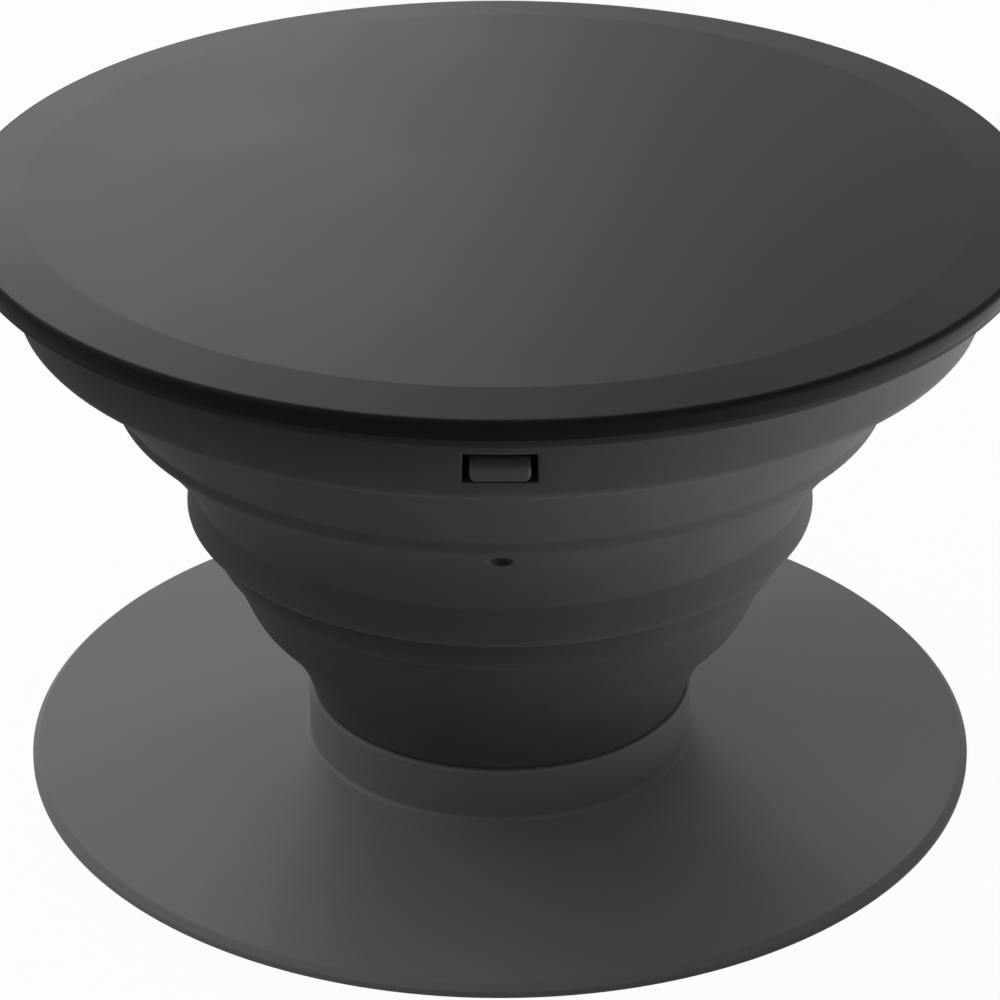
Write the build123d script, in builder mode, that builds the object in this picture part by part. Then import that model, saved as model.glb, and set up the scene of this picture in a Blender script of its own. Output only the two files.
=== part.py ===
import os

from build123d import *

# Collapsible phone grip, extended, in millimetres.
# The origin is the middle of the adhesive pad's underside, +Z is the grip's axis, and the front faces -Y.

# Adhesive pad
pad_diameter = 34.0
pad_thickness = 0.9

# Base plate and its collar
base_diameter = 37.14
base_thickness = 0.5
base_bevel = 0.25
collar_diameter = 15.14
collar_height = 2.18
collar_foot_fillet = 0.2
collar_edge_fillet = 0.12

# Anchor of the bellows' foot inside the collar
neck_bore_diameter = 12.0
pocket_diameter = 13.6
pocket_depth = 1.0
neck_wall = 1.1
plug_head_thickness = 0.35
plug_stem_height = 1.5
plug_lead_in = 0.25
anchor_clearance = 0.05

# Bellows, from the foot up
foot_diameter = 14.76
foot_floor = 1.0
lower_web_height = 7.9
lower_fold_diameter = 19.44
lower_fold_drop = 4.02
under_ring_inset = 1.05
under_ring_height = 1.54
under_step = 0.27
mid_ring_diameter = 24.2
mid_ring_height = 1.6
mid_ring_draft = 0.15
upper_web_height = 7.49
upper_fold_diameter = 29.4
upper_fold_drop = 3.32
upper_fold_height = 0.5
upper_fold_draft = 0.02
top_band_diameter = 36.15
top_band_height = 2.67
band_step = 0.79
ring_edge_fillet = 0.35
under_edge_fillet = 0.22
lower_fold_fillet = 2.0
upper_fold_fillet = 0.5
lower_web_sag = 0.32
upper_web_sag = 0.2
bellows_wall = 1.0
fold_floor = 0.5
dimple_diameter = 0.95
dimple_depth = 0.4
dimple_below_fold = 1.08

# Top disc
disc_diameter = 40.0
disc_thickness = 1.37
flat_diameter = 35.4
border_fall = 0.18
rim_top_fillet = 0.25
rim_low_fillet = 0.8
disc_seat_gap = 0.05

# Snap fit between the disc's skirt and the band's windows
snap_count = 4
window_width = 2.55
window_height = 1.04
window_sill = 0.74
skirt_wall = 1.0
skirt_clearance = 0.1
skirt_floor_gap = 0.1
barb_width = 2.08
barb_height = 0.9
barb_face_height = 0.5
barb_sill_gap = 0.02
barb_reach = 0.03
barb_lean = 0.5
barb_corner_fillet = 0.25
barb_edge_fillet = 0.12
relief_width = 0.6
relief_gap = 0.4
relief_root = 0.4
front = -90

# Heights and radii that follow from the sizes above
base_bottom = pad_thickness
base_top = base_bottom + base_thickness
collar_top = base_top + collar_height
mid_bottom = collar_top + lower_web_height
mid_top = mid_bottom + mid_ring_height
band_bottom = mid_top + upper_web_height
band_top = band_bottom + top_band_height
disc_bottom = band_top + disc_seat_gap
disc_top = disc_bottom + disc_thickness

base_radius = base_diameter / 2
collar_radius = collar_diameter / 2
bore_radius = neck_bore_diameter / 2
pocket_radius = pocket_diameter / 2
pocket_roof = base_bottom + pocket_depth
plug_head_top = base_bottom + plug_head_thickness
flange_radius = pocket_radius - anchor_clearance
neck_radius = bore_radius - anchor_clearance
neck_inner_radius = neck_radius - neck_wall
foot_radius = foot_diameter / 2
foot_root_radius = foot_radius - bellows_wall / 2
mid_radius = mid_ring_diameter / 2
mid_top_radius = mid_radius - mid_ring_draft
under_radius = mid_radius - under_ring_inset
fold_radius = upper_fold_diameter / 2
band_radius = top_band_diameter / 2
disc_radius = disc_diameter / 2
skirt_radius = band_radius - bellows_wall - skirt_clearance
skirt_inner_radius = skirt_radius - skirt_wall
skirt_mid_radius = skirt_radius - skirt_wall / 2
skirt_bottom = band_bottom + fold_floor + skirt_floor_gap
web_rise = upper_web_height - upper_fold_drop - upper_fold_height
web_spread = fold_radius - upper_fold_draft - mid_top_radius
dimple_height = band_bottom - upper_fold_drop - dimple_below_fold
dimple_share = (dimple_height - mid_top) / web_rise
dimple_sag = 4 * dimple_share * (1 - dimple_share) * upper_web_sag
dimple_web_radius = mid_top_radius + dimple_share * web_spread - dimple_sag
dimple_ball_radius = (dimple_diameter ** 2 / 4 + dimple_depth ** 2) / (2 * dimple_depth)
dimple_ball_out = dimple_ball_radius - dimple_depth
dimple_normal = Vector(web_rise, 0, -web_spread).normalized()
dimple_middle = Vector(dimple_web_radius, 0, dimple_height) + dimple_normal * dimple_ball_out
window_bottom = band_bottom + window_sill
barb_bottom = window_bottom + barb_sill_gap
barb_top = barb_bottom + barb_height
barb_tip_radius = band_radius + barb_reach


def corner(section, point):
    """The corner of a section that lies nearest to a point."""
    return section.vertices().sort_by_distance(point)[0]


def bellows_section(inset, rise):
    """Half section of the bellows' outside, or of its hollow, which lies further in and higher."""
    foot = (foot_radius - inset, collar_top)
    lower_fold = (lower_fold_diameter / 2 - inset, mid_bottom - lower_fold_drop + rise)
    under_inner = (under_radius - under_step - inset, mid_bottom - under_ring_height + rise)
    under_low = (under_radius - inset, mid_bottom - under_ring_height + rise)
    under_high = (under_radius - inset, mid_bottom + rise)
    mid_low = (mid_radius - inset, mid_bottom + rise)
    mid_high = (mid_top_radius - inset, mid_top + rise)
    fold_high = (fold_radius - inset, band_bottom - upper_fold_drop + rise)
    fold_low = (fold_high[0] - upper_fold_draft, fold_high[1] - upper_fold_height)
    band_inner = (band_radius - band_step - inset, band_bottom + rise)
    band_low = (band_radius - inset, band_bottom + rise)
    band_high = (band_radius - inset, band_top)
    with BuildSketch(Plane.XZ) as section:
        with BuildLine():
            Line((0, collar_top), foot)
            SagittaArc(foot, lower_fold, lower_web_sag)
            Polyline(lower_fold, under_inner, under_low, under_high, mid_low, mid_high)
            SagittaArc(mid_high, fold_low, upper_web_sag)
            Polyline(fold_low, fold_high, band_inner, band_low, band_high, (0, band_top), (0, collar_top))
        make_face()
        fillet(corner(section, lower_fold), lower_fold_fillet)
        fillet(corner(section, fold_low), upper_fold_fillet)
        if inset == 0:
            fillet(corner(section, under_low), under_edge_fillet)
            fillet(corner(section, mid_low), ring_edge_fillet)
            fillet(corner(section, band_low), ring_edge_fillet)
    return section.sketch


# Adhesive pad: a die-cut disc
with BuildPart() as adhesive_pad:
    with BuildSketch() as pad_outline:
        Circle(pad_diameter / 2)
    extrude(amount=pad_thickness)
adhesive_pad.part.label = "adhesive_pad"

# Base plate: a bevelled disc with a low collar, bored for the neck and pocketed below for its flange
with BuildPart() as base_plate:
    with BuildSketch(Plane.XZ) as plate_section:
        with BuildLine():
            Polyline(
                (bore_radius, pocket_roof),
                (pocket_radius, pocket_roof),
                (pocket_radius, base_bottom),
                (base_radius, base_bottom),
                (base_radius, base_top - base_bevel),
                (base_radius - base_bevel, base_top),
                (collar_radius, base_top),
                (collar_radius, collar_top),
                (bore_radius, collar_top),
                close=True,
            )
        make_face()
        fillet(corner(plate_section, (collar_radius, base_top)), collar_foot_fillet)
        fillet(corner(plate_section, (collar_radius, collar_top)), collar_edge_fillet)
    revolve(axis=Axis.Z)
base_plate.part.label = "base_plate"

# Foot plug: a head that fills the pocket below the flange, and a stem that spreads the neck
with BuildPart() as foot_plug:
    with BuildSketch(Plane.XY.offset(base_bottom)) as plug_head:
        Circle(flange_radius)
    extrude(amount=plug_head_thickness)
    with BuildSketch(Plane.XY.offset(plug_head_top)) as plug_stem:
        Circle(neck_inner_radius - anchor_clearance)
    extrude(amount=plug_stem_height)
    chamfer(foot_plug.faces().sort_by(Axis.Z)[-1].edges(), plug_lead_in)
foot_plug.part.label = "foot_plug"

# Bellows: a soft hollow moulding, open at the top, with a flanged neck at its foot
bellows_outside = bellows_section(0, 0)
bellows_hollow = bellows_section(bellows_wall, fold_floor)
with BuildPart() as bellows:
    revolve(bellows_outside, axis=Axis.Z)
    revolve(bellows_hollow, axis=Axis.Z, mode=Mode.SUBTRACT)
    with BuildSketch(Plane.XZ) as neck_section:
        with BuildLine():
            Polyline(
                (neck_inner_radius, plug_head_top),
                (flange_radius, plug_head_top),
                (flange_radius, pocket_roof),
                (neck_radius, pocket_roof),
                (neck_radius, collar_top),
                (foot_root_radius, collar_top),
                (foot_root_radius, collar_top + foot_floor),
                (neck_inner_radius, collar_top + foot_floor),
                close=True,
            )
        make_face()
    revolve(axis=Axis.Z)
    with Locations((0, 0, window_bottom + window_height / 2)):
        with PolarLocations(band_radius, snap_count, start_angle=front):
            Box(4 * bellows_wall, window_width, window_height, mode=Mode.SUBTRACT)
    with PolarLocations(dimple_middle.X, 1, start_angle=front):
        with Locations((0, 0, dimple_middle.Z)):
            Sphere(dimple_ball_radius, mode=Mode.SUBTRACT)
bellows.part.label = "bellows"

# One snap barb, on the +X side: rounded, with an upright face below and a face that leans back above it
with BuildPart() as barb:
    with BuildSketch(Plane.YZ.offset(skirt_mid_radius)) as barb_face:
        with Locations((0, (barb_bottom + barb_top) / 2)):
            Rectangle(barb_width, barb_height)
        fillet(barb_face.vertices().group_by(Axis.Y)[0], barb_corner_fillet)
    extrude(amount=barb_tip_radius - skirt_mid_radius)
    fillet(barb.faces().sort_by(Axis.X)[-1].edges().filter_by(Axis.Z), barb_edge_fillet)
    with BuildSketch(Plane.XZ) as lean_section:
        with BuildLine():
            Polyline(
                (barb_tip_radius, barb_bottom + barb_face_height),
                (barb_tip_radius, barb_top),
                (barb_tip_radius - barb_lean, barb_top),
                close=True,
            )
        make_face()
    extrude(amount=barb_width, both=True, mode=Mode.SUBTRACT)

# Top disc: a flat middle, a sloping border, a rounded rim, and below it the slit snap skirt with its barbs
with BuildPart() as top_disc:
    with BuildSketch(Plane.XZ) as disc_section:
        with BuildLine():
            Polyline((0, disc_top), (0, disc_bottom), (skirt_inner_radius, disc_bottom))
            Polyline(
                (skirt_inner_radius, disc_bottom),
                (skirt_inner_radius, skirt_bottom),
                (skirt_radius, skirt_bottom),
                (skirt_radius, disc_bottom),
                (disc_radius, disc_bottom),
                (disc_radius, disc_top - border_fall),
                (flat_diameter / 2, disc_top),
                (0, disc_top),
            )
        make_face()
        fillet(corner(disc_section, (disc_radius, disc_top - border_fall)), rim_top_fillet)
        fillet(corner(disc_section, (disc_radius, disc_bottom)), rim_low_fillet)
    revolve(axis=Axis.Z)
    relief_height = disc_bottom - relief_root - skirt_bottom
    relief_offset = barb_width / 2 + relief_gap + relief_width / 2
    with Locations((0, 0, skirt_bottom + relief_height / 2)):
        with PolarLocations(skirt_mid_radius, snap_count, start_angle=front):
            with Locations((0, relief_offset), (0, -relief_offset)):
                Box(2 * skirt_wall, relief_width, relief_height, mode=Mode.SUBTRACT)
    with PolarLocations(0, snap_count, start_angle=front):
        add(barb.part)
top_disc.part.label = "top_disc"

os.makedirs("parts", exist_ok=True)
for piece in (adhesive_pad, base_plate, foot_plug, bellows, top_disc):
    export_step(piece.part, f"parts/{piece.part.label}.step")
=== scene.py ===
import math

import bpy
import numpy as np
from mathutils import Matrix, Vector


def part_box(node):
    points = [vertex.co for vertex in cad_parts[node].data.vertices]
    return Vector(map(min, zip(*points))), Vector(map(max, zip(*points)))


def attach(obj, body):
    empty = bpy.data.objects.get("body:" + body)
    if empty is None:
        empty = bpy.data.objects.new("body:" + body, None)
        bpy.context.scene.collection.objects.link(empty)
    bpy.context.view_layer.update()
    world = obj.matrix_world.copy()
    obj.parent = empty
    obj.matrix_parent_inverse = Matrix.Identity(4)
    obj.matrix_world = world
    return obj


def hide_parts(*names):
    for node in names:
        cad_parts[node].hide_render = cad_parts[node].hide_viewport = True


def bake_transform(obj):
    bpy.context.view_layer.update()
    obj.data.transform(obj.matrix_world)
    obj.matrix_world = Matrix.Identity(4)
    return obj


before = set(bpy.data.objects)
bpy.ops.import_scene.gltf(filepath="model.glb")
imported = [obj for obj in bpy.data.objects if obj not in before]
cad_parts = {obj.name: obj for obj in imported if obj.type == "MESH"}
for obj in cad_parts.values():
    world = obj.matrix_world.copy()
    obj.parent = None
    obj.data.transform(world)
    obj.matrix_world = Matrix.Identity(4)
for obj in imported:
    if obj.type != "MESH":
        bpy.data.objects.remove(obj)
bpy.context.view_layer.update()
mm = 0.001
print("frame loaded:", ", ".join(sorted(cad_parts)))


# Small shader kit

class Wire:
    # one socket of a material's node tree: Python's operators on it add Math nodes
    def __init__(self, tree, socket=None):
        self.tree = tree
        self.socket = socket

    def node(self, kind, settings=None, inputs=None, out=0):
        # any node: its settings first, then the values or links of its sockets, by name or number
        made = self.tree.nodes.new("ShaderNode" + kind)
        for name, value in (settings or {}).items():
            setattr(made, name, value)
        for name, value in (inputs or {}).items():
            if isinstance(value, Wire):
                self.tree.links.new(value.socket, made.inputs[name])
            else:
                made.inputs[name].default_value = value
        return Wire(self.tree, made.outputs[out] if made.outputs else None)

    def math(self, operation, first, second=0.0):
        return self.node("Math", {"operation": operation}, {0: first, 1: second})

    def __add__(self, other):
        return self.math("ADD", self, other)

    def __radd__(self, other):
        return self.math("ADD", other, self)

    def __sub__(self, other):
        return self.math("SUBTRACT", self, other)

    def __mul__(self, other):
        return self.math("MULTIPLY", self, other)

    def __rmul__(self, other):
        return self.math("MULTIPLY", other, self)


# Numbers of sockets: Object of TexCoord, Fac of Attribute, and the two colours and the colour output of Mix
objectOut, factorOut, mixFirst, mixSecond, mixOut = 3, 2, 6, 7, 2


def noiseField(wire, place, size, detail=2.0, roughness=0.5):
    # noise from 0 to 1, whose blobs are about as wide as the given size in metres
    inputs = {"Vector": place, "Scale": 1 / size, "Detail": detail, "Roughness": roughness}
    return wire.node("TexNoise", None, inputs)


def aboutMiddle(noise):
    # a noise from 0 to 1 as one from -0.5 to 0.5
    return noise - 0.5


def mixColours(wire, amount, first, second):
    inputs = {0: amount, mixFirst: (*first, 1), mixSecond: (*second, 1)}
    return wire.node("Mix", {"data_type": "RGBA"}, inputs, mixOut)


def blankMaterial(name):
    material = bpy.data.materials.new(name)
    material.use_nodes = True
    material.node_tree.nodes.clear()
    return material, Wire(material.node_tree)


def grainBump(wire, look, height):
    inputs = {"Strength": look["bump"], "Distance": look["grainDepth"], "Height": height}
    return wire.node("Bump", None, inputs)


def finishMaterial(material, wire, fixed, colour, roughness, normal):
    # fixed values go straight onto the shader's sockets, and only the three varying inputs are linked
    varying = {"Base Color": colour, "Roughness": roughness, "Normal": normal}
    shader = wire.node("BsdfPrincipled", None, {**fixed, **varying})
    wire.node("OutputMaterial", None, {"Surface": shader})
    return material


# Shares of the noises in each kind of finish, and the specks' size against the grain's
plasticNoise = dict(
    cloudDetail=3.0, grainDetail=3.0, grainRoughness=0.6, speckDetail=1.0, speckSize=0.4,
    cloudTone=0.7, grainTone=0.3, grainHeight=0.6, speckHeight=0.4,
)
elastomerNoise = dict(
    cloudDetail=4.0, grainDetail=3.0, grainRoughness=0.65, dustDetail=2.0,
    cloudTone=0.5, grainTone=0.25, dustTone=0.25, grainHeight=0.7, dustHeight=0.3,
    highlightAndRubShare=0.55, highlightAndRubDrift=0.9,
)


def mouldedPlastic(name, look):
    # a spark-eroded grain in the bump, a faint cloudy tone, and a roughness that drifts a little
    material, wire = blankMaterial(name)
    place = wire.node("TexCoord", out=objectOut)
    mix = plasticNoise
    cloud = noiseField(wire, place, look["cloudSize"], mix["cloudDetail"])
    grain = noiseField(wire, place, look["grainSize"], mix["grainDetail"], mix["grainRoughness"])
    speck = noiseField(wire, place, look["grainSize"] * mix["speckSize"], mix["speckDetail"])
    tone = cloud * mix["cloudTone"] + grain * mix["grainTone"]
    colour = mixColours(wire, tone, look["dark"], look["light"])
    drift = look["roughDrift"]
    roughness = look["roughness"] + aboutMiddle(cloud) * drift + aboutMiddle(speck) * drift
    height = grain * mix["grainHeight"] + speck * mix["speckHeight"]
    return finishMaterial(material, wire, look["fixed"], colour, roughness, grainBump(wire, look, height))


def softElastomer(name, look):
    # soft-touch moulding with painted light and shade: paler on the webs, the band and most of all the fold
    # than on the ring walls, and a painted highlight along the ring edges, which are also smoother as if
    # rubbed: the mesh's own attributes say where
    material, wire = blankMaterial(name)
    place = wire.node("TexCoord", out=objectOut)
    edgeHighlightAndRub = wire.node("Attribute", {"attribute_name": "edgeHighlightAndRub"}, out=factorOut)
    lightByPart = wire.node("Attribute", {"attribute_name": "lightByPart"}, out=factorOut)
    mix = elastomerNoise
    cloud = noiseField(wire, place, look["cloudSize"], mix["cloudDetail"])
    grain = noiseField(wire, place, look["grainSize"], mix["grainDetail"], mix["grainRoughness"])
    dust = noiseField(wire, place, look["dustSize"], mix["dustDetail"])
    # painted highlight along the ring edges; the same mask marks where rubbing leaves them smoother
    highlightAndRub = edgeHighlightAndRub * (mix["highlightAndRubShare"] + mix["highlightAndRubDrift"] * aboutMiddle(cloud))
    tone = mix["cloudTone"] * cloud + mix["grainTone"] * grain + mix["dustTone"] * dust
    # painted light in the tone: the highlight along the ring edges, and the paler webs, band and fold
    tone = tone + highlightAndRub * look["edgeHighlightLift"] + lightByPart * look["lightByPartLift"]
    colour = mixColours(wire, tone, look["dark"], look["light"])
    roughness = look["roughness"] + aboutMiddle(grain) * look["roughDrift"] - highlightAndRub * look["edgeSheen"]
    height = grain * mix["grainHeight"] + dust * mix["dustHeight"]
    return finishMaterial(material, wire, look["fixed"], colour, roughness, grainBump(wire, look, height))


# Small mesh kit

def bowedLine(start, end, sag=0.0, count=2):
    # a straight run with a parabola added on its left: start + t (end - start) + 4 t (1 - t) sag left
    t = np.linspace(0, 1, count)[:, None]
    run = np.subtract(end, start)
    left = np.array((-run[1], run[0])) / np.hypot(*run)
    return np.asarray(start) + t * run + 4 * t * (1 - t) * sag * left


def roundedPath(legs, reaches, count=7, support=0.03 * mm, same=1e-7):
    # legs joined end to end; at each joint a parabola replaces what lies within the joint's reach of the
    # corner, and a point close to either end of it keeps the shading of the legs flat
    legs = [np.asarray(leg, float) for leg in legs]
    path = []
    for i, (leg, before, after) in enumerate(zip(legs, [0, *reaches], [*reaches, 0])):
        fromStart, fromEnd = np.hypot(*(leg - leg[0]).T), np.hypot(*(leg - leg[-1]).T)
        near, far = before and before + support, after and after + support
        onward, back = (leg[1] - leg[0]) / fromStart[1], (leg[-2] - leg[-1]) / fromEnd[-2]
        roomy = fromStart[-1] > near + far
        inside = leg[(fromStart > near) & (fromEnd > far)]
        ends = [leg[0] + near * onward, leg[-1] + far * back] if roomy else []
        path.append(np.vstack([*ends[:1], inside, *ends[1:]]) if roomy else inside)
        if after:
            corner, ahead = leg[-1], legs[i + 1][1] - leg[-1]
            enter, leave = corner + after * back, corner + after * ahead / np.hypot(*ahead)
            t = np.linspace(0, 1, count)[:, None]
            path.append(enter * (1 - t) ** 2 + 2 * corner * t * (1 - t) + leave * t ** 2)
    whole = np.vstack(path)
    apart = np.hypot(*np.diff(whole, axis=0).T) > same
    return whole[np.concatenate([[True], apart])]


def finerPath(path, longest):
    # the same path with its long stretches divided, so that no step is longer than the given length
    steps = np.hypot(*np.diff(path, axis=0).T)
    parts = np.maximum(1, np.ceil(steps / longest)).astype(int)
    share = np.concatenate([np.arange(n) / n for n in parts])
    first = np.repeat(np.arange(len(parts)), parts)
    fine = path[first] + share[:, None] * (path[first + 1] - path[first])
    return np.vstack([fine, path[-1:]])


def turnedPoints(path, angles):
    # profile (r, z) turned about Z: (r cos a, r sin a, z) for every angle a
    r, z = path[:, 0, None], path[:, 1, None]
    return np.stack([r * np.cos(angles), r * np.sin(angles), z + 0 * angles], axis=-1)


def gridQuads(rows, columns, closedRows):
    # vertex numbers of the quads between neighbouring rows and columns; the columns close on themselves
    i = np.arange(rows if closedRows else rows - 1)[:, None]
    j = np.arange(columns)[None, :]
    below, above = i * columns, (i + 1) % rows * columns
    return np.stack([below + j, below + (j + 1) % columns, above + (j + 1) % columns, above + j], axis=-1)


def makePiece(name, points, quads, materials, body=None, triangles=None, slotOf=None):
    # one mesh object at the origin, with its place in its vertices
    faces = quads.reshape(-1, 4).tolist() + ([] if triangles is None else triangles.reshape(-1, 3).tolist())
    mesh = bpy.data.meshes.new(name)
    mesh.from_pydata(points.reshape(-1, 3).tolist(), [], faces)
    mesh.polygons.foreach_set("use_smooth", np.ones(len(faces), bool))
    for material in materials:
        mesh.materials.append(material)
    if slotOf is not None:
        mesh.polygons.foreach_set("material_index", slotOf.astype(np.int32))
    mesh.update()
    piece = bpy.data.objects.new(name, mesh)
    bpy.context.scene.collection.objects.link(piece)
    if body:
        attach(piece, body)
    return piece


def evenAngles(columns):
    return np.arange(columns) * 2 * math.pi / columns


def turnedPiece(name, path, columns, material, body):
    # a closed profile turned about Z, ring against ring, with no poles
    points = turnedPoints(path, evenAngles(columns))
    return makePiece(name, points, gridQuads(len(path), columns, True), [material], body)


def closedTube(rings, ends):
    # rings of one size, joined in order, and closed at either end by a fan about the given point
    rows, columns = rings.shape[:2]
    j, last = np.arange(columns), (rows - 1) * columns
    foot = np.stack([np.full(columns, rows * columns), (j + 1) % columns, j], axis=-1)
    head = np.stack([np.full(columns, rows * columns + 1), last + j, last + (j + 1) % columns], axis=-1)
    points = np.vstack([rings.reshape(-1, 3), ends])
    return points, gridQuads(rows, columns, False).reshape(-1, 4), np.vstack([foot, head])


def tubesPiece(name, tubes, material, body):
    # several closed tubes in one mesh
    starts = np.cumsum([0] + [len(points) for points, quads, fans in tubes])
    points = np.vstack([points for points, quads, fans in tubes])
    quads = np.vstack([quads + start for (points, quads, fans), start in zip(tubes, starts)])
    fans = np.vstack([fans + start for (points, quads, fans), start in zip(tubes, starts)])
    return makePiece(name, points, quads, [material], body, fans)


def cappedPiece(name, path, columns, materials, body, slotOfRow=None):
    # an open profile from one point of the axis to another, turned about Z, with a fan at either end
    rings = turnedPoints(path[1:-1], evenAngles(columns))
    points, quads, fans = closedTube(rings, [(0, 0, path[0, 1]), (0, 0, path[-1, 1])])
    slots = None
    if slotOfRow is not None:
        ends = np.repeat([slotOfRow[0], slotOfRow[-1]], columns)
        slots = np.concatenate([np.repeat(slotOfRow[1:-1], columns), ends])
    return makePiece(name, points, quads, materials, body, fans, slots)


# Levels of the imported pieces, which every surface below starts from
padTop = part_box("adhesive_pad")[1].z
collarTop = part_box("base_plate")[1].z
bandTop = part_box("bellows")[1].z
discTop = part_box("top_disc")[1].z
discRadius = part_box("top_disc")[1].x
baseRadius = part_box("base_plate")[1].x
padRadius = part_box("adhesive_pad")[1].x
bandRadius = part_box("bellows")[1].x

# Finishes

discTopLook = dict(
    dark=(0.0198, 0.0188, 0.0201), light=(0.0258, 0.0245, 0.0262),
    roughness=0.37, roughDrift=0.05, cloudSize=0.006, grainSize=0.00016, grainDepth=0.000004, bump=0.25,
    fixed={"Specular IOR Level": 0.05, "IOR": 1.5},
)
# a darker, duller copy of the disc's plastic for the rim's side: painted shade
shadedRimLook = dict(
    dark=(0.0138, 0.0138, 0.014), light=(0.0195, 0.0195, 0.0198),
    roughness=0.5, roughDrift=0.08, cloudSize=0.004, grainSize=0.00013, grainDepth=0.000004, bump=0.25,
    fixed={"Specular IOR Level": 0.03, "IOR": 1.5},
)
baseLook = dict(
    dark=(0.244, 0.245, 0.245), light=(0.283, 0.284, 0.284),
    roughness=0.6, roughDrift=0.08, cloudSize=0.005, grainSize=0.00014, grainDepth=0.000006, bump=0.3,
    fixed={"Specular IOR Level": 0.2, "IOR": 1.5},
)
# the two lifts paint light: a highlight along the ring edges, and webs, band and fold paler than the ring
# walls
bellowsLook = dict(
    dark=(0.098, 0.098, 0.098), light=(0.15, 0.15, 0.15),
    roughness=0.72, roughDrift=0.12, cloudSize=0.0035, grainSize=0.0002, dustSize=0.0006,
    grainDepth=0.000008, bump=0.35, edgeHighlightLift=0.45, edgeSheen=0.1, lightByPartLift=0.12,
    fixed={"Specular IOR Level": 0.06, "IOR": 1.45},
)
padLook = dict(
    dark=(0.022, 0.022, 0.023), light=(0.042, 0.042, 0.043),
    roughness=0.45, roughDrift=0.2, cloudSize=0.002, grainSize=0.00045, grainDepth=0.00002, bump=0.4,
    fixed={"Specular IOR Level": 0.4, "IOR": 1.5},
)
# grey of the disc's underside and snap skirt, also put on the rim's lower rounding as painted light
underAndLitRimLook = dict(
    dark=(0.039, 0.039, 0.0397), light=(0.062, 0.062, 0.063),
    roughness=0.5, roughDrift=0.12, cloudSize=0.002, grainSize=0.00012, grainDepth=0.000003, bump=0.2,
    fixed={"Specular IOR Level": 0.004, "IOR": 1.5},
)
barbLook = dict(
    dark=(0.05, 0.05, 0.051), light=(0.068, 0.068, 0.069),
    roughness=0.4, roughDrift=0.15, cloudSize=0.002, grainSize=0.00012, grainDepth=0.000003, bump=0.2,
    fixed={"Specular IOR Level": 0.3, "IOR": 1.5},
)
satinDisc = mouldedPlastic("satinDisc", discTopLook)
shadedRim = mouldedPlastic("shadedRim", shadedRimLook)
greyUnderAndLitRim = mouldedPlastic("greyUnderAndLitRim", underAndLitRimLook)
snapBarb = mouldedPlastic("snapBarb", barbLook)
matteBase = mouldedPlastic("matteBase", baseLook)
softBellows = softElastomer("softBellows", bellowsLook)
tackyPad = mouldedPlastic("tackyPad", padLook)
print("finishes made")

# Adhesive pad: a die-cut disc of gel with softly rounded edges
padForm = dict(edgeRound=0.16 * mm, columns=224, step=1.4 * mm)
padPath = roundedPath(
    [
        [(0, 0), (padRadius, 0)],
        [(padRadius, 0), (padRadius, padTop)],
        [(padRadius, padTop), (0, padTop)],
    ],
    [padForm["edgeRound"], padForm["edgeRound"]],
)
pad = cappedPiece("adhesivePad", finerPath(padPath, padForm["step"]), padForm["columns"], [tackyPad], "base")
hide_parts("adhesive_pad")

# Base plate: a thin bevelled disc with a low collar, bored for the neck and pocketed for its flange
baseForm = dict(
    thickness=0.5 * mm, bevel=0.25 * mm, collarRadius=7.57 * mm, collarFoot=0.2 * mm, collarEdge=0.12 * mm,
    boreRadius=6.0 * mm, pocketRadius=6.8 * mm, pocketDepth=1.0 * mm, edgeSoft=0.05 * mm,
    columns=256, step=0.5 * mm,
)
plateTop = padTop + baseForm["thickness"]
pocketRoof = padTop + baseForm["pocketDepth"]
basePath = roundedPath(
    [
        [(baseForm["pocketRadius"], padTop), (baseRadius, padTop)],
        [(baseRadius, padTop), (baseRadius, plateTop - baseForm["bevel"])],
        [(baseRadius, plateTop - baseForm["bevel"]), (baseRadius - baseForm["bevel"], plateTop)],
        [(baseRadius - baseForm["bevel"], plateTop), (baseForm["collarRadius"], plateTop)],
        [(baseForm["collarRadius"], plateTop), (baseForm["collarRadius"], collarTop)],
        [(baseForm["collarRadius"], collarTop), (baseForm["boreRadius"], collarTop)],
        [(baseForm["boreRadius"], collarTop), (baseForm["boreRadius"], pocketRoof)],
        [(baseForm["boreRadius"], pocketRoof), (baseForm["pocketRadius"], pocketRoof)],
    ],
    [baseForm["edgeSoft"]] * 3 + [baseForm["collarFoot"], baseForm["collarEdge"], 0, 0],
)
base = turnedPiece("basePlate", finerPath(basePath, baseForm["step"]), baseForm["columns"], matteBase, "base")
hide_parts("base_plate")
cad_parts["foot_plug"].data.materials.clear()
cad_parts["foot_plug"].data.materials.append(matteBase)
print("base and pad made")

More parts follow.
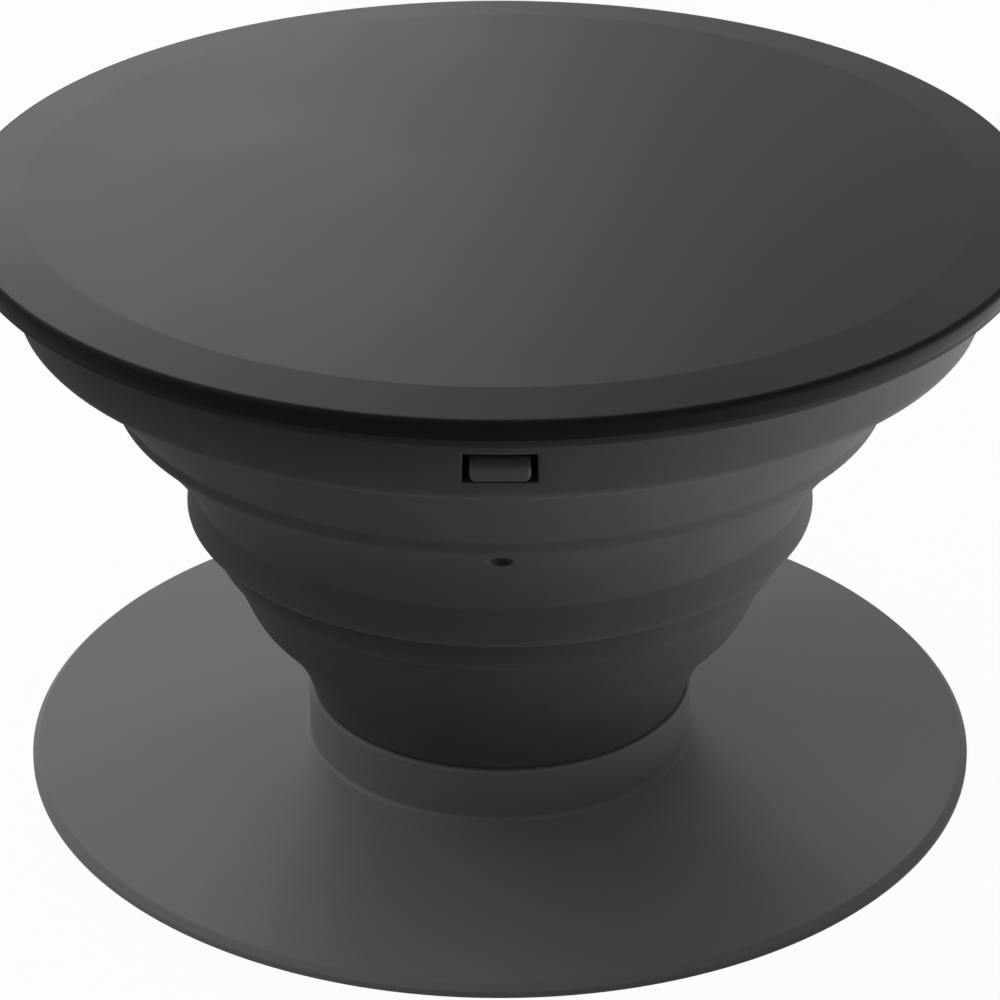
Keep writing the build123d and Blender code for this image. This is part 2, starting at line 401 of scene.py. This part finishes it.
# Bellows: a hollow stepped moulding with snap windows in its band and a dimple in its upper web
bellowsForm = dict(
    wall=1.0 * mm, foldFloor=0.5 * mm, floorFade=1.0 * mm, bandFade=0.6 * mm,
    footRadius=7.38 * mm, footFloor=1.0 * mm, lowerFold=(9.72 * mm, 4.02 * mm), lowerSag=0.32 * mm,
    underRadius=11.05 * mm, underHeight=1.54 * mm, underStep=0.27 * mm,
    midRadius=12.1 * mm, midDraft=0.15 * mm, midHeight=1.6 * mm, upperWeb=7.49 * mm,
    upperFold=(14.7 * mm, 3.32 * mm), foldHeight=0.5 * mm, foldDraft=0.02 * mm, upperSag=0.2 * mm,
    bandStep=0.79 * mm, bandHeight=2.67 * mm, edgeReach=0.35 * mm, underReach=0.22 * mm,
    lowerFoldReach=0.5 * mm, upperFoldReach=0.16 * mm, rootReach=0.1 * mm,
    neckRadius=5.95 * mm, neckInner=4.85 * mm, flangeRadius=6.75 * mm, flangeBottom=0.35 * mm,
    # where the painted highlight along the ring edges lies: its inset from each sharp edge and its width
    edgeHighlightInset=0.1 * mm, edgeHighlightWidth=0.22 * mm, ringFade=0.3 * mm, webFade=0.1 * mm, foldLightByPart=2.5,
    columns=240, step=0.32 * mm, webSteps=24, sameRadius=0.001 * mm,
)
windowForm = dict(
    count=4, halfWidth=1.275 * mm, halfHeight=0.52 * mm, sill=0.74 * mm, round=0.04 * mm,
    margin=(0.5 * mm, 0.18 * mm),
)
dimpleForm = dict(
    radius=0.475 * mm, belowFold=1.08 * mm, depth=0.4 * mm, round=0.04 * mm, margin=(0.4 * mm, 0.12 * mm),
    shares=(1, 0.97, 0.92, 0.84, 0.73, 0.6, 0.45, 0.3, 0.15),
)
roundSteps = np.radians((0, 30, 60, 90))
front = -math.pi / 2
quarter = 2 * math.pi / windowForm["count"]
turns = [front + k * quarter for k in range(windowForm["count"])]
bandBottom = bandTop - bellowsForm["bandHeight"]
midTop = bandBottom - bellowsForm["upperWeb"]
midBottom = midTop - bellowsForm["midHeight"]
underBottom = midBottom - bellowsForm["underHeight"]
foldHigh = (bellowsForm["upperFold"][0], bandBottom - bellowsForm["upperFold"][1])


def bellowsOutside():
    # the outside from foot to band: two bowed webs between stepped rings, and a short steep fold in the
    # upper web
    f = bellowsForm
    foot, lowerFold = (f["footRadius"], collarTop), (f["lowerFold"][0], midBottom - f["lowerFold"][1])
    underInner, underLow = (f["underRadius"] - f["underStep"], underBottom), (f["underRadius"], underBottom)
    underHigh, midLow = (f["underRadius"], midBottom), (f["midRadius"], midBottom)
    midHigh = (f["midRadius"] - f["midDraft"], midTop)
    foldLow = (foldHigh[0] - f["foldDraft"], foldHigh[1] - f["foldHeight"])
    bandInner, bandLow = (bandRadius - f["bandStep"], bandBottom), (bandRadius, bandBottom)
    legs = [
        bowedLine(foot, lowerFold, f["lowerSag"], f["webSteps"]),
        bowedLine(lowerFold, underInner),
        bowedLine(underInner, underLow),
        bowedLine(underLow, underHigh),
        bowedLine(underHigh, midLow),
        bowedLine(midLow, midHigh),
        bowedLine(midHigh, foldLow, f["upperSag"], f["webSteps"]),
        bowedLine(foldLow, foldHigh),
        bowedLine(foldHigh, bandInner),
        bowedLine(bandInner, bandLow),
        bowedLine(bandLow, (bandRadius, bandTop)),
    ]
    root, edge = f["rootReach"], f["edgeReach"]
    lowerReaches = [f["lowerFoldReach"], root, f["underReach"], root, edge]
    upperReaches = [root, f["upperFoldReach"], root, root, edge]
    return finerPath(roundedPath(legs, lowerReaches + upperReaches), f["step"])


class HollowSkin:
    # two skins on one grid of angle and length along a profile, the outer at depth 0 and the inner one wall
    # deeper, where the profile is also lifted, so that the steps keep some floor
    def __init__(self, path, columns, wall, lift, firstInner):
        self.path, self.columns, self.wall = path, columns, wall
        self.lift, self.firstInner = lift, firstInner
        self.angles = evenAngles(columns)
        self.along = np.concatenate([[0], np.cumsum(np.hypot(*np.diff(path, axis=0).T))])
        self.points = [self.place(self.angles[None, :], self.along[:, None], 0)]
        self.points.append(self.place(self.angles[None, :], self.along[firstInner:, None], wall))
        self.innerStart = len(path) * columns
        self.count = self.innerStart + (len(path) - firstInner) * columns
        self.keepOuter = np.ones((len(path) - 1, columns), bool)
        self.keepInner = np.ones((len(path) - 1 - firstInner, columns), bool)
        self.quads, self.fans = [], []

    def place(self, angle, along, depth):
        # (r - depth) about Z at height z + lift depth / wall, with r, z and lift read from the profile at
        # that length along it
        r = np.interp(along, self.along, self.path[:, 0]) - depth
        raised = np.interp(along, self.along, self.lift) * depth / self.wall
        z = np.interp(along, self.along, self.path[:, 1]) + raised
        return np.stack(np.broadcast_arrays(r * np.cos(angle), r * np.sin(angle), z), axis=-1)

    def addRing(self, points):
        numbers = self.count + np.arange(len(points))
        self.points.append(points)
        self.count += len(points)
        return numbers

    def join(self, first, second):
        self.quads.append(np.stack([first, np.roll(first, -1), np.roll(second, -1), second], axis=-1))

    def hole(self, angle, along, margin, outline, rings, floor=None, between=(0.35, 0.7)):
        # the grid's cells about the hole make way for rings: from their border, at places (u, v) across and
        # along, by shares of the way to the outline, and on by each ring's growth of the outline and depth,
        # to the inner skin or to the middle of a floor
        r = np.interp(along, self.along, self.path[:, 0])
        rows = np.searchsorted(self.along, (along - margin[1], along + margin[1]))
        low, high = rows[0] - 1, rows[1]
        spread = int(math.ceil(margin[0] / r / (2 * math.pi / self.columns)))
        middle = int(round(angle / (2 * math.pi / self.columns)))
        left, right = middle - spread, middle + spread
        across = np.arange(left, right) % self.columns
        through = floor is None
        self.keepOuter[low:high, across] = False
        if through:
            self.keepInner[low - self.firstInner:high - self.firstInner, across] = False
        wide, tall = right - left, high - low
        i = np.concatenate([
            np.full(wide, low), np.arange(low, high), np.full(wide, high), np.arange(high, low, -1),
        ])
        j = np.concatenate([
            np.arange(left, right), np.full(tall, right), np.arange(right, left, -1), np.full(tall, left),
        ])
        u, v = (j * 2 * math.pi / self.columns - angle) * r, self.along[i] - along
        border = np.stack([u, v])
        start = outline(u, v, rings[0][0])
        spots = [(border + (start - border) * t, 0.0) for t in between]
        spots += [(outline(u, v, grow), depth) for grow, depth in rings]
        if through:
            spots.append(((border + spots[-1][0]) / 2, self.wall))
        rim = [self.outerNumber(i, j % self.columns)]
        for spot, depth in spots:
            rim.append(self.addRing(self.place(angle + spot[0] / r, along + spot[1], depth)))
        if through:
            rim.append(self.innerNumber(i, j % self.columns))
        else:
            bottom = self.addRing(self.place(np.array([angle]), along, floor))
            self.fans.append(np.stack([rim[-1], np.roll(rim[-1], -1), np.repeat(bottom, len(i))], axis=-1))
        for first, second in zip(rim, rim[1:]):
            self.join(first, second)

    def outerNumber(self, row, column):
        return row * self.columns + column

    def innerNumber(self, row, column):
        return self.innerStart + (row - self.firstInner) * self.columns + column

    def finish(self, underPath):
        # both grids, the top edge between them, and the rings that close the foot between the skins
        outer = gridQuads(len(self.path), self.columns, False)[self.keepOuter]
        inner = gridQuads(len(self.path) - self.firstInner, self.columns, False)[self.keepInner]
        inner = inner[:, ::-1] + self.innerStart
        last = np.arange(self.columns)
        top = len(self.path) - 1
        self.join(self.outerNumber(top, last), self.innerNumber(top, last))
        rings = [self.innerNumber(self.firstInner, last)]
        rings += [self.addRing(ring) for ring in turnedPoints(underPath, self.angles)]
        rings.append(self.outerNumber(0, last))
        for first, second in zip(rings, rings[1:]):
            self.join(first, second)
        points = np.vstack([part.reshape(-1, 3) for part in self.points])
        return points, np.vstack([outer, inner, *self.quads]), np.vstack(self.fans)


bellowsPath = bellowsOutside()
floorTop = collarTop + bellowsForm["footFloor"]
liftHeights = [
    floorTop, floorTop + bellowsForm["floorFade"], bandBottom, bandBottom + bellowsForm["bandFade"],
]
lift = np.interp(bellowsPath[:, 1], liftHeights, [0, bellowsForm["foldFloor"], bellowsForm["foldFloor"], 0])
firstInner = int(np.searchsorted(bellowsPath[:, 1], floorTop))
skin = HollowSkin(bellowsPath, bellowsForm["columns"], bellowsForm["wall"], lift, firstInner)
windowMiddle = bandBottom + windowForm["sill"] + windowForm["halfHeight"]
bandRows = np.flatnonzero(bellowsPath[:, 0] > bandRadius - bellowsForm["sameRadius"])
windowAlong = np.interp(windowMiddle, bellowsPath[bandRows, 1], skin.along[bandRows])
windowRings = [
    (windowForm["round"] * (1 - math.sin(a)), windowForm["round"] * (1 - math.cos(a))) for a in roundSteps
]
windowRings += [(0, bellowsForm["wall"] / 2), (0, bellowsForm["wall"])]


def windowOutline(u, v, grow):
    # the border's rectangle, brought to the window's width and height, corner to corner
    upDown = np.where(v > 0, v / v.max(), v / -v.min())
    halfWidth, halfHeight = windowForm["halfWidth"] + grow, windowForm["halfHeight"] + grow
    return np.stack([u / u.max() * halfWidth, upDown * halfHeight])


windowMargin = (
    windowForm["halfWidth"] + windowForm["margin"][0], windowForm["halfHeight"] + windowForm["margin"][1],
)
for turn in turns:
    skin.hole(turn, windowAlong, windowMargin, windowOutline, windowRings)
webLow, webHigh = midTop + bellowsForm["rootReach"], bandBottom - bellowsForm["rootReach"]
webRows = np.flatnonzero((bellowsPath[:, 1] > webLow) & (bellowsPath[:, 1] < webHigh))
dimpleAlong = np.interp(foldHigh[1] - dimpleForm["belowFold"], bellowsPath[webRows, 1], skin.along[webRows])
ballRadius = (dimpleForm["radius"] ** 2 + dimpleForm["depth"] ** 2) / (2 * dimpleForm["depth"])
shares = np.array(dimpleForm["shares"])
bowlDepth = np.sqrt(ballRadius ** 2 - (shares * dimpleForm["radius"]) ** 2) - ballRadius + dimpleForm["depth"]
dimpleRings = [(dimpleForm["round"], 0.0), *zip((shares - 1) * dimpleForm["radius"], bowlDepth)]
dimpleMargin = [dimpleForm["radius"] + margin for margin in dimpleForm["margin"]]


def dimpleOutline(u, v, grow):
    # the border's rectangle, brought to the dimple's circle along rays from its middle
    return np.stack([u, v]) / np.hypot(u, v) * (dimpleForm["radius"] + grow)


skin.hole(front, dimpleAlong, dimpleMargin, dimpleOutline, dimpleRings, dimpleForm["depth"])
flangeBottom = padTop + bellowsForm["flangeBottom"]
underPath = np.array([
    (bellowsForm["neckInner"], floorTop), (bellowsForm["neckInner"], flangeBottom),
    (bellowsForm["flangeRadius"], flangeBottom), (bellowsForm["flangeRadius"], pocketRoof),
    (bellowsForm["neckRadius"], pocketRoof), (bellowsForm["neckRadius"], collarTop),
])
bellowsPoints, bellowsQuads, bellowsFans = skin.finish(underPath)
bellows = makePiece("bellowsBody", bellowsPoints, bellowsQuads, [softBellows], None, bellowsFans)


def giveAttribute(piece, name, values):
    attribute = piece.data.attributes.new(name, "FLOAT", "POINT")
    attribute.data.foreach_set("value", np.asarray(values, np.float32))


def nearEdges(r, z, edges, inset, width):
    # 1 at the inset's distance from a sharp edge (r, z), where its rounding lies, fading over the width
    gaps = [np.hypot(r - a, z - b) - inset for a, b in edges]
    return np.max([np.exp(-(gap / width) ** 2) for gap in gaps], axis=0)


bellowsR, bellowsZ = np.hypot(bellowsPoints[:, 0], bellowsPoints[:, 1]), bellowsPoints[:, 2]
ringEdges = [
    (bellowsForm["underRadius"], underBottom), (bellowsForm["midRadius"], midBottom),
    (bandRadius, bandBottom),
]
# painted highlight along the rings' lower edges, which the finish also makes smoother as if rubbed
edgeHighlightAndRub = nearEdges(bellowsR, bellowsZ, ringEdges, bellowsForm["edgeHighlightInset"], bellowsForm["edgeHighlightWidth"])
giveAttribute(bellows, "edgeHighlightAndRub", edgeHighlightAndRub)
# painted light and shade by part: paler on the webs, the band and most of all the fold, darker on the under
# and mid rings' walls
foldBottom, webFade = foldHigh[1] - bellowsForm["foldHeight"], bellowsForm["webFade"]
lightByPartHeights = [underBottom - bellowsForm["ringFade"], underBottom, midTop, midTop + webFade]
lightByPartHeights += [foldBottom - webFade, foldBottom, foldHigh[1], foldHigh[1] + webFade]
lightByPartValues = [1, 0, 0, 1, 1, bellowsForm["foldLightByPart"], bellowsForm["foldLightByPart"], 1]
giveAttribute(bellows, "lightByPart", np.interp(bellowsZ, lightByPartHeights, lightByPartValues))
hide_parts("bellows")
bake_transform(bellows)
print("bellows made:", len(bellowsQuads), "quads")

# Top disc: flat middle, sloping border, dark rounded rim whose side is darkened further as painted shade and
# whose lower rounding takes the underside's paler grey as painted light, and a grey underside with the snap
# skirt's root
discForm = dict(
    thickness=1.37 * mm, flatRadius=17.7 * mm, borderFall=0.18 * mm, flatSoft=0.06 * mm,
    rimTop=0.25 * mm, rimLow=0.8 * mm, litRimStrip=0.5 * mm, topBelow=0.02 * mm, topInset=0.2 * mm,
    skirtRadius=16.975 * mm, skirtWall=1.0 * mm, rootHeight=0.4 * mm, soft=0.04 * mm,
    columns=288, step=0.6 * mm, cornerSteps=11,
)
discBottom = discTop - discForm["thickness"]
rimShoulder = discTop - discForm["borderFall"]
skirtRadius, skirtInner = discForm["skirtRadius"], discForm["skirtRadius"] - discForm["skirtWall"]
rootBottom = discBottom - discForm["rootHeight"]
discLegs = [
    [(0, discBottom), (skirtInner, discBottom)],
    [(skirtInner, discBottom), (skirtInner, rootBottom)],
    [(skirtInner, rootBottom), (skirtRadius, rootBottom)],
    [(skirtRadius, rootBottom), (skirtRadius, discBottom)],
    [(skirtRadius, discBottom), (discRadius, discBottom)],
    [(discRadius, discBottom), (discRadius, rimShoulder)],
    [(discRadius, rimShoulder), (discForm["flatRadius"], discTop)],
    [(discForm["flatRadius"], discTop), (0, discTop)],
]
soft = discForm["soft"]
discReaches = [0, soft, soft, 0, discForm["rimLow"], discForm["rimTop"], discForm["flatSoft"]]
discPath = finerPath(roundedPath(discLegs, discReaches, discForm["cornerSteps"]), discForm["step"])
discFinishes = [shadedRim, satinDisc, greyUnderAndLitRim]
rowR, rowZ = ((discPath[1:] + discPath[:-1]) / 2).T
onTop = (rowZ > rimShoulder - discForm["topBelow"]) & (rowR < discRadius - discForm["topInset"])
# the rim's lower rounding, up to this height above the underside, takes the paler grey as painted light
below = rowZ < discBottom + discForm["litRimStrip"]
# finishes by their numbers: 0 on the rim's side, a darker copy of the disc's plastic as painted shade, 1 on
# top,
# 2 below, where the paler grey on the rim's lower rounding is painted light
rowFinish = np.where(below, 2, onTop)
disc = cappedPiece("topDisc", discPath, discForm["columns"], discFinishes, "top", rowFinish)
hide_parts("top_disc")

# Snap skirt: a slit ring under the disc, of a narrow tab at every window and a long piece between each two
skirtForm = dict(
    floorGap=0.1 * mm, tabHalf=1.44 * mm, slit=0.6 * mm, sink=0.03 * mm, chamfer=0.03 * mm,
    tabSteps=8, longSteps=48,
)
skirtBottom = bandBottom + bellowsForm["foldFloor"] + skirtForm["floorGap"]


def skirtBlock(startTurn, startOffset, endTurn, endOffset, steps):
    # a chamfered section carried round the axis between two parallel-sided slits: at radius r the angle runs
    # from startTurn + asin(startOffset / r) to endTurn + asin(endOffset / r)
    low, high, c = skirtBottom, rootBottom + skirtForm["sink"], skirtForm["chamfer"]
    loop = np.array([
        (skirtInner, low + c), (skirtInner, high - c), (skirtInner + c, high), (skirtRadius - c, high),
        (skirtRadius, high - c), (skirtRadius, low + c), (skirtRadius - c, low), (skirtInner + c, low),
    ])
    t = np.linspace(0, 1, steps + 1)[:, None]
    r, z = loop[:, 0], loop[:, 1]
    angle = (1 - t) * (startTurn + np.arcsin(startOffset / r)) + t * (endTurn + np.arcsin(endOffset / r))
    rings = np.stack([r * np.cos(angle), r * np.sin(angle), z + 0 * angle], axis=-1)
    return closedTube(rings, [rings[0].mean(axis=0), rings[-1].mean(axis=0)])


half, longEnd = skirtForm["tabHalf"], skirtForm["tabHalf"] + skirtForm["slit"]
blocks = [skirtBlock(turn, -half, turn, half, skirtForm["tabSteps"]) for turn in turns]
blocks += [skirtBlock(turn, longEnd, turn + quarter, -longEnd, skirtForm["longSteps"]) for turn in turns]
skirt = tubesPiece("snapSkirt", blocks, greyUnderAndLitRim, "top")

# Snap barbs: rounded blocks on the skirt, each with an upright face below and a face that leans back above it
barbForm = dict(
    width=2.08 * mm, height=0.9 * mm, faceHeight=0.5 * mm, sillGap=0.02 * mm, reach=0.03 * mm,
    lean=0.3 * mm, bend=0.2, corner=0.25 * mm, soft=0.12 * mm, root=0.4 * mm, around=96,
    shares=(0.88, 0.75, 0.6, 0.45, 0.3, 0.15),
)


def roundedBoxReach(u, v, halfWidth, halfHeight, corner, steps=40):
    # how far a ray along (u, v) goes from the middle of a rounded rectangle to its outline, by steps that are
    # each as long as the distance that is left
    reach = np.zeros_like(u)
    for _ in range(steps):
        x = np.abs(u * reach) - (halfWidth - corner)
        y = np.abs(v * reach) - (halfHeight - corner)
        outside = np.hypot(np.maximum(x, 0), np.maximum(y, 0)) + np.minimum(np.maximum(x, y), 0) - corner
        reach = reach - outside
    return reach


def barbFace(up):
    # radius of the face: full over the upright part, then back in proportion to the height above it, with a
    # soft bend: lean (share + hypot(share, bend)) / 2
    f = barbForm
    share = (up + f["height"] / 2 - f["faceHeight"]) / (f["height"] - f["faceHeight"])
    return bandRadius + f["reach"] - f["lean"] * (share + np.hypot(share, f["bend"])) / 2


def barbBlock(turn):
    # a rounded outline in (across, up), carried from the root out to the leaning face, over its edge and in
    # to its middle
    f = barbForm
    t = evenAngles(f["around"])
    u, v = np.cos(t), np.sin(t)
    reach = roundedBoxReach(u, v, f["width"] / 2, f["height"] / 2, np.where(v < 0, f["corner"], f["soft"]))
    rings = [np.stack([np.full_like(u, skirtRadius - f["root"]), u * reach, v * reach], -1)]
    for a in roundSteps:
        inside = reach - f["soft"] * (1 - math.cos(a))
        out = barbFace(v * inside) - f["soft"] * (1 - math.sin(a))
        rings.append(np.stack([out, u * inside, v * inside], -1))
    for share in f["shares"]:
        inside = (reach - f["soft"]) * share
        rings.append(np.stack([barbFace(v * inside), u * inside, v * inside], -1))
    points = np.stack(rings)
    out, across = points[..., 0].copy(), points[..., 1].copy()
    points[..., 0] = out * math.cos(turn) - across * math.sin(turn)
    points[..., 1] = out * math.sin(turn) + across * math.cos(turn)
    points[..., 2] += bandBottom + windowForm["sill"] + f["sillGap"] + f["height"] / 2
    return closedTube(points, [points[0].mean(axis=0), points[-1].mean(axis=0)])


barbs = tubesPiece("snapBarbs", [barbBlock(turn) for turn in turns], snapBarb, "top")
print("disc, skirt and barbs made")

# Camera, floor, world and lamps
cameraForm = dict(
    back=128.24 * mm, height=77.143 * mm, pitch=27.509, focalPixels=3730.532, imagePixels=1000,
    sensor=36, nearest=0.01,
)
cameraData = bpy.data.cameras.new("photoCamera")
cameraData.sensor_width = cameraForm["sensor"]
cameraData.lens = cameraForm["focalPixels"] / cameraForm["imagePixels"] * cameraData.sensor_width
cameraData.clip_start = cameraForm["nearest"]
camera = bpy.data.objects.new("photoCamera", cameraData)
camera.location = (0, -cameraForm["back"], padTop + cameraForm["height"])
camera.rotation_euler = (math.radians(90 - cameraForm["pitch"]), 0, 0)
bpy.context.scene.collection.objects.link(camera)
bpy.context.scene.camera = camera

floorForm = dict(half=1.5, glow=0.97, white=0.6)


def seenRay(wire):
    # 1 for rays that show the background itself: straight to the camera, mirrored or through glass
    path = wire.node("LightPath")
    kinds = ("Is Camera Ray", "Is Glossy Ray", "Is Transmission Ray")
    rays = [Wire(wire.tree, path.socket.node.outputs[kind]) for kind in kinds]
    return wire.math("MAXIMUM", wire.math("MAXIMUM", rays[0], rays[1]), rays[2])


def paleFloor():
    # a pale matt floor for the light, which the camera sees as all but plain white
    material, wire = blankMaterial("paleFloor")
    white = (floorForm["white"],) * 3 + (1,)
    lit = wire.node("BsdfDiffuse", None, {"Color": white})
    glow = wire.node("Emission", None, {"Color": (1, 1, 1, 1), "Strength": 1.0})
    shader = wire.node("MixShader", None, {0: seenRay(wire) * floorForm["glow"], 1: lit, 2: glow})
    wire.node("OutputMaterial", None, {"Surface": shader})
    corners = np.array([(-1, -1, 0), (1, -1, 0), (1, 1, 0), (-1, 1, 0)]) * floorForm["half"]
    floor = makePiece("floor", corners, np.array([[0, 1, 2, 3]]), [material])


paleFloor()
worldForm = dict(fill=0.005)
world = bpy.data.worlds.new("studio")
world.use_nodes = True
world.node_tree.nodes.clear()
sky = Wire(world.node_tree)
skyStrength = worldForm["fill"] + seenRay(sky) * (1 - worldForm["fill"])
background = sky.node("Background", None, {"Color": (1, 1, 1, 1), "Strength": skyStrength})
sky.node("OutputWorld", None, {"Surface": background})
bpy.context.scene.world = world

aimMiddle, aimTop = (0, 0, 0.012), (0, 0, 0.025)
lampForms = {
    "leftPanel": dict(place=(-0.31, 0.125, 0.384), aim=aimMiddle, width=0.3, height=0.3, power=0.678),
    "leftFrontPanel": dict(place=(-0.377, -0.264, 0.398), aim=aimMiddle, width=0.3, height=0.3, power=0.228),
    "frontPanel": dict(place=(0.0, -0.386, 0.472), aim=aimMiddle, width=0.5, height=0.3, power=0.132),
    "backPanel": dict(
        place=(-0.109, 0.536, 0.272), aim=aimTop, width=0.22, height=0.2, power=0.675, tint=(1, 0.92, 1),
    ),
    "backRightPanel": dict(place=(0.167, 0.413, 0.426), aim=aimTop, width=0.22, height=0.2, power=0.266),
    "rightPanel": dict(place=(0.302, 0.11, 0.395), aim=aimMiddle, width=0.3, height=0.3, power=0.156),
    "rightCard": dict(place=(0.085, 0, 0.001), aim=(0.085, 0, 1), width=0.1, height=0.12, power=0.159),
}


def studioLamp(name, form):
    # a soft panel that faces the point it is aimed at; the camera doesn't see it
    data = bpy.data.lights.new(name, "AREA")
    data.shape = "RECTANGLE"
    data.size, data.size_y = form["width"], form["height"]
    data.energy = form["power"]
    data.color = form.get("tint", (1, 1, 1))
    lamp = bpy.data.objects.new(name, data)
    lamp.location = form["place"]
    lamp.rotation_euler = (Vector(form["aim"]) - Vector(form["place"])).to_track_quat("-Z", "Y").to_euler()
    lamp.visible_camera = False
    bpy.context.scene.collection.objects.link(lamp)


for name, form in lampForms.items():
    studioLamp(name, form)
bpy.context.scene.view_settings.view_transform = "Standard"
print("stage set")
